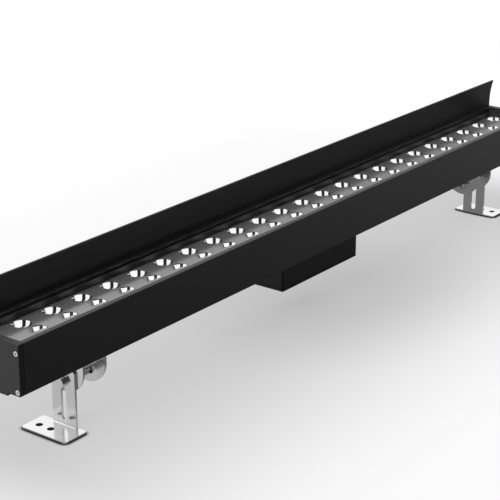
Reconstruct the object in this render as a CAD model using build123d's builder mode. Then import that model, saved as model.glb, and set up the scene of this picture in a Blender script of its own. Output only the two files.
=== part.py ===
from build123d import *

import os
from math import asin, cos, degrees, radians, sin

# Linear outdoor wall washer: extruded housing, two rows of lenses, visor and two tilting brackets.
# Millimetres, +Z up, +X along the housing, +Y towards the visor.
# The origin lies on the floor under the middle of the housing.

# ---- overall sizes ----
length = 1000.0           # over both end caps
depth = 76.0              # front face to back face
height = 52.0             # underside of the housing to its rim
pivot_height = 62.8       # tilt axis above the floor
pivot_drop = 14.0         # tilt axis below the underside of the housing

# ---- clearances ----
fit = 0.05                # radial play of a screw in its hole
bearing = 0.08            # radial play of the tilt axis
slip = 0.05               # between flat faces that move on each other
play = 0.3                # side play of loose seats and of curved faces that pass each other

# ---- housing extrusion ----
wall = 2.5
web_thickness = 3.0       # shelf that carries the LED board
rim_width = 5.0           # front rim beside the glass
rear_wall = 7.3           # back face to the optics channel
channel_width = 46.7      # optics channel at the LED board
front_ledge = 4.5         # under the front edge of the glass
rear_ledge = 2.0          # under the back edge of the glass
rear_ledge_thickness = 2.0
edge_radius = 0.6         # outer long edges
port_radius = 1.5         # screw ports that run along the extrusion
boss_radius = 3.4
port_inset = 3.6          # port centre to the nearest outer face
front_port_drop = 9.4     # upper front port below the rim
rear_port_drop = 20.0     # upper rear port, clear of the visor flange
ridge_height = 3.0        # two ridges under the housing
ridge_width = 3.0
ridge_spacing = 36.0      # between the inner faces of the ridges
slot_width = 8.0          # bottom T-slot
cavity_width = 14.0
cavity_height = 5.0

# ---- end caps ----
cap_thickness = 6.0
gasket_thickness = 1.0
cap_lip = 2.0             # over the end of the optics channel, beside the glass
cap_screw_head = 2.8      # radius
cap_screw_head_height = 3.0
cap_screw_length = 14.0
hex_socket = 1.45         # radius over the corners
hex_socket_depth = 1.7

# ---- glass and optics ----
glass_recess = 0.2        # top of the glass below the rim
glass_thickness = 4.0
seal_thickness = 0.8
lens_pitch = 41.9
row_spacing = 21.7
lens_drop = 13.2          # rims of the lenses below the rim of the housing
lens_radius = 10.0
lens_height = 11.0
lens_rim = 1.2            # thickness
lens_foot_radius = 4.6
lens_pocket_radius = 2.8
lens_pocket_depth = 3.6
lens_cup_radius = 8.4     # dish in the top of the lens
lens_cup_depth = 4.2
lens_core_radius = 2.6    # flat middle of the dish
mask_thickness = 1.5
mask_play = 0.2           # round the lenses and beside the channel walls
skirt_thickness = 1.2
board_thickness = 1.6
led_width = 3.45
led_height = 0.8
led_dome = 1.5            # radius
board_screw_step = 4      # lens pitches between the board screws

# ---- visor ----
visor_height = 36.8       # above the rim
visor_lean = 4.4          # top edge leans over the lenses
visor_upright = 7.0       # straight part above the rim
visor_thickness = 1.7
visor_flange = 12.0       # below the rim
visor_screw_pitch = 118.0
visor_screw_margin = 25.0  # least, beyond the last screws
visor_screw_length = 6.0

# ---- driver box ----
box_length = 150.0
box_width = 49.5
box_drop = 34.0           # below the underside of the housing
box_wall = 2.5
box_corner = 2.0
box_cover = 3.0
box_gasket = 1.0
box_boss = 4.0            # radius
box_boss_inset = 5.5
box_bolt_pitch = 104.0
driver_length = 112.0
driver_width = 30.0
driver_standoff = 4.0
coil_height = 11.0
capacitor_radius = 4.5
capacitor_height = 9.0
terminal_height = 7.0
grommet_radius = 3.6
grommet_bore = 2.2
grommet_flange = 1.2

# ---- cable gland ----
gland_place = 45.0         # along the back wall of the driver box
gland_thread = 6.0        # radius
gland_across_flats = 15.0
gland_hex_length = 3.5
gland_collar_radius = 5.4
gland_collar_length = 6.0
gland_nut_radius = 7.5
gland_nut_length = 9.4
gland_seal_length = 4.0
gland_locknut = 3.0
gland_wall = 1.2          # left around the seal
gland_play = 1.0          # round the cable, outside the seal
cable_radius = 3.0

# ---- hangers ----
hanger_sheet = 2.5
hanger_length = 34.0      # over both ears
hanger_width = 35.0
hanger_bend = 2.0
ear_radius = 25.0
ear_rise = 10.5           # the wide part of the ear ends this far above the tilt axis
arc_radius = 13.5         # slot of the lock bolt, about the tilt axis
lock_angle = 270.0        # direction of the lock bolt, 0 to the back and 90 up
tilt_range = 45.0         # each way
rail_bolt_pitch = 13.0
rail_bolt = 3.0           # radius
rail_bolt_head = 5.0
rail_bolt_head_height = 3.2
slot_nut_length = 10.0
slot_nut_height = 4.0

# ---- feet ----
leg_face = 408.6          # outer face of the left leg from the middle of the housing
foot_sheet = 2.5
pivot_offset = 2.3        # tilt axis from the middle of the housing, to the front on the left
leg_width = 31.0
leg_head_height = 7.5     # above the tilt axis
leg_head_width = 14.0
leg_shoulder = 2.0        # full width starts this far below the tilt axis
leg_slot_width = 7.0
leg_slot_bottom = 7.3     # above the floor
leg_slot_top = 44.6
foot_reach = 31.5         # outer edge of the foot to the inner face of the leg
foot_width = 59.6
foot_middle = -0.3        # across the housing
foot_corner = 3.5
foot_bend = 1.5
foot_hole = 3.75          # radius
foot_hole_reach = 18.0    # hole centres to the inner face of the leg
foot_holes = (2.0, 17.5)  # hole centres across the housing
pivot_bolt = 4.0          # radius
pivot_flats = 13.0
pivot_head = 5.3
pivot_nut = 8.0
pivot_washer = 7.4
pivot_spacer = 6.0
lock_bolt = 3.0           # radius
lock_flats = 10.0
lock_head = 4.0
lock_nut = 6.0
lock_washer = 5.5
lock_spacer = 4.5
washer_thickness = 1.2
bolt_end = 2.0            # thread past the nut

# ---- places worked out from the sizes ----
front = -depth / 2
back = depth / 2
underside = pivot_height + pivot_drop
rim = underside + height
ridge_bottom = underside - ridge_height
ridge_outer = ridge_spacing / 2 + ridge_width
cavity_bottom = underside + wall
cavity_top = cavity_bottom + cavity_height
channel_back = back - rear_wall
channel_front = channel_back - channel_width
rows_middle = (channel_back + channel_front) / 2
glass_front = front + rim_width
shelf = rim - glass_recess - glass_thickness - seal_thickness
lens_top = rim - lens_drop
board_top = lens_top - lens_height
web_top = board_top - board_thickness
web_bottom = web_top - web_thickness
end_face = length / 2
channel_end = end_face - cap_thickness
core_end = channel_end - gasket_thickness
optics_length = 2 * (core_end - mask_play)
optics_width = channel_width - 2 * mask_play
lens_count = int((optics_length - 2 * lens_radius) // lens_pitch) + 1  # in each row, as many as fit
visor_screw_count = int((length - 2 * visor_screw_margin) // visor_screw_pitch) + 1
ports = [
    (front + port_inset, rim - front_port_drop),
    (front + port_inset, underside + port_inset),
    (back - port_inset, rim - rear_port_drop),
    (back - port_inset, underside + port_inset),
]
BOTTOM = (Align.CENTER, Align.CENTER, Align.MIN)
TOP = (Align.CENTER, Align.CENTER, Align.MAX)

os.makedirs("parts", exist_ok=True)


def save(part, name):
    """Label a finished piece and write its STEP file."""
    part.label = name
    export_step(part, f"parts/{name}.step")


def plane_x(x, side=1):
    """A plane across the housing at x that looks along +X (side 1) or -X (side -1)."""
    return Plane(origin=(x, 0, 0), x_dir=(0, side, 0), z_dir=(side, 0, 0))


def turned(points):
    """A solid of revolution about Z from its half profile, as (radius, height) points."""
    with BuildPart() as piece:
        with BuildSketch(Plane.XZ):
            Polygon(*points, align=None)
        revolve(axis=Axis.Z)
    return piece.part


def tube(outer, inner, tube_length):
    """A washer, sleeve or ring that stands on its lower face."""
    return turned([(inner, 0), (outer, 0), (outer, tube_length), (inner, tube_length)])


def flat_head_screw(radius, head_radius, screw_length):
    """A countersunk screw, its head flush at Z 0 and its shank down."""
    cone = head_radius - radius
    return turned([(0, 0), (head_radius, 0), (radius, -cone), (radius, -screw_length), (0, -screw_length)])


def pan_head_screw(radius, head_radius, head_height, screw_length):
    """A pan head screw, its shank down from Z 0 and its head up."""
    return turned([
        (0, head_height), (head_radius * 0.8, head_height), (head_radius, head_height * 0.6),
        (head_radius, 0), (radius, 0), (radius, -screw_length), (0, -screw_length),
    ])


def socket_screw(radius, head_radius, head_height, screw_length):
    """A cylinder head screw with a hexagon socket, its shank down from Z 0 and its head up."""
    with BuildPart() as screw:
        with BuildSketch():
            Circle(head_radius)
        extrude(amount=head_height)
        chamfer(screw.faces().sort_by(Axis.Z)[-1].edges(), length=head_height / 10)
        with BuildSketch(Plane.XY.offset(head_height)):
            RegularPolygon(hex_socket, 6)
        extrude(amount=-hex_socket_depth, mode=Mode.SUBTRACT)
        with BuildSketch():
            Circle(radius)
        extrude(amount=-screw_length)
    return screw.part


def hex_bolt(radius, flats, head_height, shank):
    """A hexagon head bolt, its shank down from Z 0 and its head up."""
    with BuildPart() as bolt:
        with BuildSketch():
            RegularPolygon(flats / 2, 6, major_radius=False)
        extrude(amount=head_height)
        with BuildSketch():
            Circle(flats / 2)
        extrude(amount=head_height + radius / 10)
        with BuildSketch():
            Circle(radius)
        extrude(amount=-shank)
        chamfer(bolt.faces().sort_by(Axis.Z)[0].edges(), length=radius / 6)
    return bolt.part


def hex_nut(radius, flats, nut_height):
    """A hexagon nut with a round locking collar, standing on its lower face."""
    with BuildPart() as nut:
        with BuildSketch():
            RegularPolygon(flats / 2, 6, major_radius=False)
        extrude(amount=nut_height * 0.7)
        with BuildSketch():
            Circle(flats / 2 - radius / 6)
        extrude(amount=nut_height)
        with BuildSketch():
            Circle(radius + fit)
        extrude(amount=nut_height, mode=Mode.SUBTRACT)
    return nut.part


def skin():
    """Outline of the housing, the gaskets and the end caps, with the rebate for the visor."""
    visor_face = back - visor_thickness
    Polygon(
        (front, rim), (visor_face, rim), (visor_face, rim - visor_flange),
        (back, rim - visor_flange), (back, underside),
        (ridge_outer, underside), (ridge_outer, ridge_bottom),
        (ridge_spacing / 2, ridge_bottom), (ridge_spacing / 2, underside),
        (-ridge_spacing / 2, underside), (-ridge_spacing / 2, ridge_bottom),
        (-ridge_outer, ridge_bottom), (-ridge_outer, underside), (front, underside),
        align=None,
    )


def rounded_long_edges(part):
    """The three long outer edges that are slightly rounded."""
    corners = [(front, rim), (front, underside), (back, underside)]
    return [
        edge for edge in part.edges().filter_by(Axis.X)
        if any(abs(edge.center().Y - y) + abs(edge.center().Z - z) < fit for y, z in corners)
    ]


# ================= housing =================

ledge_bottom = shelf - rear_ledge_thickness
throat = glass_front + front_ledge
rear_plane = Plane(origin=(0, back, rim - visor_flange / 2), x_dir=(-1, 0, 0), z_dir=(0, 1, 0))
board_screw_pitch = board_screw_step * lens_pitch
board_screw_count = lens_count // board_screw_step
slot_wall = cavity_width / 2 + wall

with BuildPart() as housing:
    with BuildSketch(plane_x(-core_end)):
        skin()
        # optics channel: glass seat, sloping front wall, back wall with a small ledge
        Polygon(
            (glass_front, rim), (glass_front, shelf), (throat, shelf), (channel_front, lens_top),
            (channel_front, web_top), (channel_back, web_top), (channel_back, ledge_bottom),
            (channel_back - rear_ledge, ledge_bottom), (channel_back - rear_ledge, shelf),
            (channel_back, shelf), (channel_back, rim),
            align=None, mode=Mode.SUBTRACT,
        )
        # hollow between the front wall and the optics channel
        Polygon(
            (front + wall, shelf - wall), (throat - wall, shelf - wall),
            (channel_front - wall, lens_top - wall), (channel_front - wall, web_bottom),
            (front + wall, web_bottom),
            align=None, mode=Mode.SUBTRACT,
        )
        # wiring chamber under the web, round the T-slot
        Polygon(
            (front + wall, web_bottom), (back - wall, web_bottom), (back - wall, underside + wall),
            (slot_wall, underside + wall), (slot_wall, cavity_top + wall),
            (-slot_wall, cavity_top + wall), (-slot_wall, underside + wall),
            (front + wall, underside + wall),
            align=None, mode=Mode.SUBTRACT,
        )
        # T-slot
        Polygon(
            (-slot_width / 2, underside), (-slot_width / 2, cavity_bottom),
            (-cavity_width / 2, cavity_bottom), (-cavity_width / 2, cavity_top),
            (cavity_width / 2, cavity_top), (cavity_width / 2, cavity_bottom),
            (slot_width / 2, cavity_bottom), (slot_width / 2, underside),
            align=None, mode=Mode.SUBTRACT,
        )
        with Locations(*ports):
            Circle(boss_radius)
        with Locations(*ports):
            Circle(port_radius + fit, mode=Mode.SUBTRACT)
    extrude(amount=2 * core_end)
    fillet(rounded_long_edges(housing.part), radius=edge_radius)
    # holes of the board screws, the wire grommet and the visor screws
    with Locations((0, rows_middle, web_top)):
        with GridLocations(board_screw_pitch, 0, board_screw_count, 1):
            Cylinder(port_radius + fit, web_thickness, align=TOP, mode=Mode.SUBTRACT)
    with Locations((0, 0, cavity_top)):
        Cylinder(grommet_radius + fit, wall, align=BOTTOM, mode=Mode.SUBTRACT)
    with Locations(rear_plane):
        with GridLocations(visor_screw_pitch, 0, visor_screw_count, 1):
            Cylinder(port_radius + fit, visor_screw_length + fit, align=TOP, mode=Mode.SUBTRACT)
save(housing.part, "housing")

# ================= end caps and gaskets =================

lip_front = glass_front + play
lip_back = channel_back - play
cap_screw = socket_screw(port_radius, cap_screw_head, cap_screw_head_height, cap_screw_length)

for side, sign in (("left", -1), ("right", 1)):
    with BuildPart() as end_gasket:
        with BuildSketch(plane_x(sign * core_end)):
            skin()
            # open beside the end of the glass
            Polygon(
                (glass_front, rim), (glass_front, shelf), (channel_back, shelf), (channel_back, rim),
                align=None, mode=Mode.SUBTRACT,
            )
            with Locations(*ports):
                Circle(port_radius + fit, mode=Mode.SUBTRACT)
        extrude(amount=sign * gasket_thickness)
        fillet(rounded_long_edges(end_gasket.part), radius=edge_radius)
    save(end_gasket.part, f"end_gasket_{side}")

    with BuildPart() as end_cap:
        with BuildSketch(plane_x(sign * channel_end)):
            skin()
            # covers the T-slot and the gap between the ridges
            with Locations((0, underside)):
                Rectangle(2 * ridge_outer, 2 * ridge_height)
        extrude(amount=sign * cap_thickness)
        fillet(rounded_long_edges(end_cap.part), radius=edge_radius)
        # lip beside the end of the glass
        with BuildSketch(plane_x(sign * channel_end)):
            with Locations(((lip_front + lip_back) / 2, (rim + shelf + slip) / 2)):
                Rectangle(lip_back - lip_front, rim - shelf - slip)
        extrude(amount=-sign * cap_lip)
        with BuildSketch(plane_x(sign * channel_end)):
            with Locations(*ports):
                Circle(port_radius + fit)
        extrude(amount=sign * cap_thickness, mode=Mode.SUBTRACT)
        with BuildSketch(plane_x(sign * end_face)):
            with Locations(*ports):
                Circle(cap_screw_head + fit)
        extrude(amount=-sign * cap_screw_head_height, mode=Mode.SUBTRACT)
    save(end_cap.part, f"end_cap_{side}")

    with BuildPart() as end_cap_screws:
        with Locations(plane_x(sign * (end_face - cap_screw_head_height), sign)):
            with Locations(*[(sign * y, z) for y, z in ports]):
                add(cap_screw)
    save(end_cap_screws.part, f"end_cap_screws_{side}")

# ================= glass and seal =================

glass_length = 2 * (channel_end - cap_lip - play)
glass_width = channel_back - glass_front - 2 * play
glass_middle = (channel_back + glass_front) / 2
seal_back = rear_ledge - play
seal_front = front_ledge - play
seal_opening = glass_width - seal_front - seal_back
seal_middle = glass_middle + (seal_front - seal_back) / 2

with BuildPart() as glass_seal:
    with BuildSketch(Plane.XY.offset(shelf)):
        with Locations((0, glass_middle)):
            Rectangle(glass_length, glass_width)
        with Locations((0, seal_middle)):
            Rectangle(glass_length, seal_opening, mode=Mode.SUBTRACT)
    extrude(amount=seal_thickness)
save(glass_seal.part, "glass_seal")

with BuildPart() as glass_cover:
    with BuildSketch(Plane.XY.offset(shelf + seal_thickness)):
        with Locations((0, glass_middle)):
            Rectangle(glass_length, glass_width)
    extrude(amount=glass_thickness)
    chamfer(glass_cover.faces().sort_by(Axis.Z)[-1].edges(), length=play)
save(glass_cover.part, "glass_cover")

# ================= lenses, mask and LED board =================

# a moulded lens: flat rim, deep dish with a flat middle, pocket over the LED
dish_floor = lens_height - lens_cup_depth
with BuildPart() as lens_form:
    with BuildSketch(Plane.XZ):
        with BuildLine():
            Polyline(
                (lens_core_radius, dish_floor), (0, dish_floor),
                (0, lens_pocket_depth), (lens_pocket_radius, lens_pocket_depth), (lens_pocket_radius, 0),
                (lens_foot_radius, 0), (lens_radius, lens_height - lens_rim), (lens_radius, lens_height),
                (lens_cup_radius, lens_height),
            )
            SagittaArc((lens_cup_radius, lens_height), (lens_core_radius, dish_floor), lens_rim)
        make_face()
    revolve(axis=Axis.Z)
lens = lens_form.part

for row, across in (("front", -row_spacing / 2), ("back", row_spacing / 2)):
    with BuildPart() as lens_row:
        with Locations((0, rows_middle + across, board_top)):
            with GridLocations(lens_pitch, 0, lens_count, 1):
                add(lens)
    save(lens_row.part, f"lens_{row}_row")

with BuildPart() as lens_mask:
    with BuildSketch(Plane.XY.offset(lens_top - mask_thickness)):
        with Locations((0, rows_middle)):
            Rectangle(optics_length, optics_width)
            with GridLocations(lens_pitch, row_spacing, lens_count, 2):
                Circle(lens_radius + mask_play, mode=Mode.SUBTRACT)
    extrude(amount=mask_thickness)
    # skirts that stand on the board
    with BuildSketch(Plane.XY.offset(board_top)):
        with Locations((0, rows_middle)):
            Rectangle(optics_length, optics_width)
            Rectangle(optics_length, optics_width - 2 * skirt_thickness, mode=Mode.SUBTRACT)
    extrude(amount=lens_height - mask_thickness)
save(lens_mask.part, "lens_mask")

with BuildPart() as led_board:
    with BuildSketch(Plane.XY.offset(web_top)):
        with Locations((0, rows_middle)):
            Rectangle(optics_length, optics_width)
            with GridLocations(board_screw_pitch, 0, board_screw_count, 1):
                Circle(port_radius + fit, mode=Mode.SUBTRACT)
    extrude(amount=board_thickness)
save(led_board.part, "led_board")

with BuildPart() as leds:
    with Locations((0, rows_middle, board_top)):
        with GridLocations(lens_pitch, row_spacing, lens_count, 2):
            Box(led_width, led_width, led_height, align=BOTTOM)
            Cylinder(led_dome, led_height + led_dome, align=BOTTOM)
save(leds.part, "leds")

board_screw = pan_head_screw(port_radius, 2 * port_radius, port_radius, board_thickness + web_thickness)
with BuildPart() as board_screws:
    with Locations((0, rows_middle, board_top)):
        with GridLocations(board_screw_pitch, 0, board_screw_count, 1):
            add(board_screw)
save(board_screws.part, "board_screws")

# ================= visor =================

curl_height = visor_height - visor_upright
curl_radius = (curl_height ** 2 + visor_lean ** 2) / (2 * visor_lean)
curl_angle = degrees(asin(curl_height / curl_radius))
visor_centre = (back - visor_thickness / 2 - curl_radius, rim + visor_upright)

with BuildPart() as visor:
    with BuildSketch(plane_x(-end_face)):
        with BuildLine():
            face_arc = CenterArc(visor_centre, curl_radius - visor_thickness / 2, 0, curl_angle)
            rear_arc = CenterArc(visor_centre, curl_radius + visor_thickness / 2, 0, curl_angle)
            Line(face_arc @ 1, rear_arc @ 1)
            Polyline(
                face_arc @ 0, (back - visor_thickness, rim - visor_flange),
                (back, rim - visor_flange), rear_arc @ 0,
            )
        make_face()
    extrude(amount=length)
    with Locations(rear_plane):
        with GridLocations(visor_screw_pitch, 0, visor_screw_count, 1):
            CounterSinkHole(port_radius + fit, 2 * port_radius, depth=visor_thickness)
save(visor.part, "visor")

visor_screw = flat_head_screw(port_radius, 2 * port_radius - fit, visor_screw_length)
with BuildPart() as visor_screws:
    with Locations(rear_plane):
        with GridLocations(visor_screw_pitch, 0, visor_screw_count, 1):
            add(visor_screw)
save(visor_screws.part, "visor_screws")

# ================= driver box =================

box_bottom = underside - box_drop
box_base = box_bottom + box_cover
box_mouth = box_base + box_gasket
groove_bottom = ridge_bottom - slip
box_ceiling = groove_bottom - box_wall
cover_screws = (box_length - 2 * box_boss_inset, box_width - 2 * box_boss_inset)
gland_plane = Plane(
    origin=(gland_place, box_width / 2, (box_mouth + box_ceiling) / 2), x_dir=(1, 0, 0), z_dir=(0, 1, 0),
)

with BuildPart() as driver_box:
    with BuildSketch(Plane.XY.offset(box_mouth)):
        RectangleRounded(box_length, box_width, box_corner)
    extrude(amount=underside - box_mouth)
    # grooves for the two ridges
    with BuildSketch(Plane.XY.offset(groove_bottom)):
        with GridLocations(0, ridge_spacing + ridge_width, 1, 2):
            Rectangle(box_length, ridge_width + 2 * play)
    extrude(amount=underside - groove_bottom, mode=Mode.SUBTRACT)
    # cavity, open downwards, with a boss in each corner
    with BuildSketch(Plane.XY.offset(box_mouth)):
        Rectangle(box_length - 2 * box_wall, box_width - 2 * box_wall)
        with GridLocations(*cover_screws, 2, 2):
            Circle(box_boss, mode=Mode.SUBTRACT)
    extrude(amount=box_ceiling - box_mouth, mode=Mode.SUBTRACT)
    with BuildSketch(Plane.XY.offset(box_mouth)):
        with GridLocations(*cover_screws, 2, 2):
            Circle(port_radius + fit)
    extrude(amount=cap_screw_length, mode=Mode.SUBTRACT)
    with BuildSketch(Plane.XY.offset(box_ceiling)):
        with GridLocations(box_bolt_pitch, 0, 2, 1):
            Circle(rail_bolt + fit)
        Circle(grommet_radius + fit)
    extrude(amount=underside - box_ceiling, mode=Mode.SUBTRACT)
    with BuildSketch(gland_plane):
        Circle(gland_thread + fit)
    extrude(amount=-box_wall, mode=Mode.SUBTRACT)
save(driver_box.part, "driver_box")

with BuildPart() as driver_box_gasket:
    with BuildSketch(Plane.XY.offset(box_base)):
        RectangleRounded(box_length, box_width, box_corner)
        Rectangle(box_length - 2 * box_wall, box_width - 2 * box_wall, mode=Mode.SUBTRACT)
        with GridLocations(*cover_screws, 2, 2):
            Circle(box_boss)
        with GridLocations(*cover_screws, 2, 2):
            Circle(port_radius + fit, mode=Mode.SUBTRACT)
    extrude(amount=box_gasket)
save(driver_box_gasket.part, "driver_box_gasket")

cover_plane = Plane(origin=(0, 0, box_bottom), x_dir=(1, 0, 0), z_dir=(0, 0, -1))
with BuildPart() as driver_box_cover:
    with BuildSketch(Plane.XY.offset(box_bottom)):
        RectangleRounded(box_length, box_width, box_corner)
    extrude(amount=box_cover)
    with Locations(cover_plane):
        with GridLocations(*cover_screws, 2, 2):
            CounterSinkHole(port_radius + fit, 2 * port_radius, depth=box_cover)
save(driver_box_cover.part, "driver_box_cover")

cover_screw = flat_head_screw(port_radius, 2 * port_radius - fit, cap_screw_length)
with BuildPart() as driver_box_screws:
    with Locations(cover_plane):
        with GridLocations(*cover_screws, 2, 2):
            add(cover_screw)
save(driver_box_screws.part, "driver_box_screws")

# a flat nut that slides in the T-slot
with BuildPart() as slot_nut_form:
    with BuildSketch():
        Rectangle(slot_nut_length, cavity_width - 2 * play)
        Circle(rail_bolt + fit, mode=Mode.SUBTRACT)
    extrude(amount=slot_nut_height)
slot_nut = slot_nut_form.part
slot_nut_bottom = cavity_bottom + slip
slot_nut_top = slot_nut_bottom + slot_nut_height

with BuildPart() as driver_box_slot_nuts:
    with Locations((0, 0, slot_nut_bottom)):
        with GridLocations(box_bolt_pitch, 0, 2, 1):
            add(slot_nut)
save(driver_box_slot_nuts.part, "driver_box_slot_nuts")

box_bolt = pan_head_screw(rail_bolt, rail_bolt_head, rail_bolt_head_height, slot_nut_top - box_ceiling)
with BuildPart() as driver_box_bolts:
    with Locations(Plane(origin=(0, 0, box_ceiling), x_dir=(1, 0, 0), z_dir=(0, 0, -1))):
        with GridLocations(box_bolt_pitch, 0, 2, 1):
            add(box_bolt)
save(driver_box_bolts.part, "driver_box_bolts")

# rubber grommet from the driver box into the wiring chamber
grommet_top = cavity_top + wall
with BuildPart() as wire_grommet:
    with Locations((0, 0, box_ceiling)):
        add(tube(grommet_radius, grommet_bore, grommet_top - box_ceiling))
    with Locations((0, 0, box_ceiling - grommet_flange), (0, 0, grommet_top)):
        add(tube(grommet_radius + grommet_flange, grommet_bore, grommet_flange))
save(wire_grommet.part, "wire_grommet")

# driver board on four pillars
driver_bottom = box_base + driver_standoff
driver_top = driver_bottom + board_thickness
pillar = driver_standoff / 2
with BuildPart() as driver_board:
    with BuildSketch(Plane.XY.offset(driver_bottom)):
        Rectangle(driver_length, driver_width)
    extrude(amount=board_thickness)
    with BuildSketch(Plane.XY.offset(box_base)):
        with GridLocations(driver_length - 4 * pillar, driver_width - 4 * pillar, 2, 2):
            Circle(pillar)
    extrude(amount=driver_standoff)
save(driver_board.part, "driver_board")

with BuildPart() as driver_components:
    with BuildSketch(Plane.XY.offset(driver_top)):
        with Locations((-driver_length / 6, 0)):
            Rectangle(driver_width * 0.7, driver_width * 0.75)
    extrude(amount=coil_height)
    with BuildSketch(Plane.XY.offset(driver_top)):
        with Locations((driver_length / 6, 0)):
            with GridLocations(driver_width * 0.4, driver_width * 0.4, 2, 2):
                Circle(capacitor_radius)
    extrude(amount=capacitor_height)
    with BuildSketch(Plane.XY.offset(driver_top)):
        with GridLocations(driver_length * 0.85, 0, 2, 1):
            Rectangle(driver_width * 0.3, driver_width * 0.6)
    extrude(amount=terminal_height)
save(driver_components.part, "driver_components")

# ================= cable gland in the back wall of the driver box =================

gland_bore = cable_radius + gland_play
seal_seat = gland_hex_length + gland_collar_length - gland_seal_length
seal_radius = gland_collar_radius - gland_wall
thread_inside = box_wall + gland_locknut + gland_play
with BuildPart() as cable_gland_body:
    with BuildSketch(gland_plane):
        RegularPolygon(gland_across_flats / 2, 6, major_radius=False)
    extrude(amount=gland_hex_length)
    with BuildSketch(gland_plane):
        Circle(gland_collar_radius)
    extrude(amount=gland_hex_length + gland_collar_length)
    with BuildSketch(gland_plane):
        Circle(gland_thread)
    extrude(amount=-thread_inside)
    with BuildSketch(gland_plane.offset(-thread_inside)):
        Circle(gland_bore)
    extrude(amount=thread_inside + seal_seat, mode=Mode.SUBTRACT)
    with BuildSketch(gland_plane.offset(seal_seat)):
        Circle(seal_radius)
    extrude(amount=gland_seal_length, mode=Mode.SUBTRACT)
save(cable_gland_body.part, "cable_gland_body")

with BuildPart() as cable_gland_seal:
    with BuildSketch(gland_plane.offset(seal_seat)):
        Circle(seal_radius)
        Circle(cable_radius, mode=Mode.SUBTRACT)
    extrude(amount=gland_seal_length)
save(cable_gland_seal.part, "cable_gland_seal")

with BuildPart() as cable_gland_nut:
    with BuildSketch(gland_plane.offset(gland_hex_length)):
        Circle(gland_nut_radius)
    extrude(amount=gland_nut_length)
    fillet(cable_gland_nut.faces().sort_by(Axis.Y)[-1].edges(), radius=gland_nut_radius * 0.35)
    # six grip flats
    with BuildSketch(gland_plane.offset(gland_hex_length)):
        Circle(gland_nut_radius)
        RegularPolygon(gland_nut_radius * 1.08, 6, mode=Mode.SUBTRACT)
    extrude(amount=gland_nut_length * 0.6, mode=Mode.SUBTRACT)
    with BuildSketch(gland_plane.offset(gland_hex_length)):
        Circle(gland_collar_radius + fit)
    extrude(amount=gland_collar_length, mode=Mode.SUBTRACT)
    with BuildSketch(gland_plane.offset(gland_hex_length)):
        Circle(gland_bore)
    extrude(amount=gland_nut_length, mode=Mode.SUBTRACT)
save(cable_gland_nut.part, "cable_gland_nut")

with BuildPart() as cable_gland_locknut:
    with BuildSketch(gland_plane.offset(-box_wall)):
        RegularPolygon(gland_across_flats / 2, 6, major_radius=False)
        Circle(gland_thread + fit, mode=Mode.SUBTRACT)
    extrude(amount=-gland_locknut)
save(cable_gland_locknut.part, "cable_gland_locknut")

# ================= hangers =================
# The left hanger; the right one is the same piece turned half a turn about Z.

pivot = (-pivot_offset, pivot_height)
lock = (
    pivot[0] + arc_radius * cos(radians(lock_angle)),
    pivot[1] + arc_radius * sin(radians(lock_angle)),
)
leg_inner = -leg_face + foot_sheet
ear_start = leg_inner + slip
ear_end = ear_start + hanger_length
hanger_top = underside - slip
hanger_bottom = hanger_top - hanger_sheet
hanger_middle = (ear_start + ear_end) / 2


def save_pair(part, name):
    """Write a piece of the left bracket and the same piece of the right bracket."""
    save(part, f"left_{name}")
    with BuildPart() as turned_round:
        add(part, rotation=(0, 0, 180))
    save(turned_round.part, f"right_{name}")


with BuildPart() as hanger:
    for ear_x in (ear_start, ear_end - hanger_sheet):
        with BuildSketch(plane_x(ear_x)):
            with Locations(pivot):
                Circle(ear_radius)
                # above the axis the disc is straight sided and stops under the ridges
                Rectangle(2 * ear_radius, ear_radius, align=(Align.CENTER, Align.MIN), mode=Mode.SUBTRACT)
                Rectangle(2 * ear_radius, ear_rise, align=(Align.CENTER, Align.MIN))
            with Locations((0, pivot_height)):
                Rectangle(hanger_width, hanger_top - pivot_height, align=(Align.CENTER, Align.MIN))
        extrude(amount=hanger_sheet)
    with BuildSketch(Plane.XY.offset(hanger_bottom)):
        with Locations((hanger_middle, 0)):
            Rectangle(hanger_length, hanger_width)
    extrude(amount=hanger_sheet)
    # bends between the plate and the ears
    fillet(hanger.edges().filter_by(Axis.Y).group_by(Axis.Z)[-1], radius=hanger_bend)
    # tilt hole, lock slot and rail bolt holes
    with BuildSketch(plane_x(ear_start)):
        with Locations(pivot):
            Circle(pivot_bolt + bearing)
        with BuildLine():
            slot_line = CenterArc(pivot, arc_radius, lock_angle - tilt_range, 2 * tilt_range)
        SlotArc(slot_line, 2 * (lock_bolt + play))
    extrude(amount=hanger_length, mode=Mode.SUBTRACT)
    with BuildSketch(Plane.XY.offset(hanger_bottom)):
        with Locations((hanger_middle, 0)):
            with GridLocations(rail_bolt_pitch, 0, 2, 1):
                Circle(rail_bolt + fit)
    extrude(amount=hanger_sheet, mode=Mode.SUBTRACT)
save_pair(hanger.part, "hanger")

rail_screw = pan_head_screw(rail_bolt, rail_bolt_head, rail_bolt_head_height, slot_nut_top - hanger_bottom)
with BuildPart() as rail_bolts:
    with Locations(Plane(origin=(hanger_middle, 0, hanger_bottom), x_dir=(1, 0, 0), z_dir=(0, 0, -1))):
        with GridLocations(rail_bolt_pitch, 0, 2, 1):
            add(rail_screw)
save_pair(rail_bolts.part, "rail_bolts")

with BuildPart() as rail_nuts:
    with Locations((hanger_middle, 0, slot_nut_bottom)):
        with GridLocations(rail_bolt_pitch, 0, 2, 1):
            add(slot_nut)
save_pair(rail_nuts.part, "rail_nuts")

# ================= feet =================

foot_edge = leg_inner - foot_reach
half_head = leg_head_width / 2
half_leg = leg_width / 2
shoulder = pivot_height - leg_shoulder
head_top = pivot_height + leg_head_height

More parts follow.
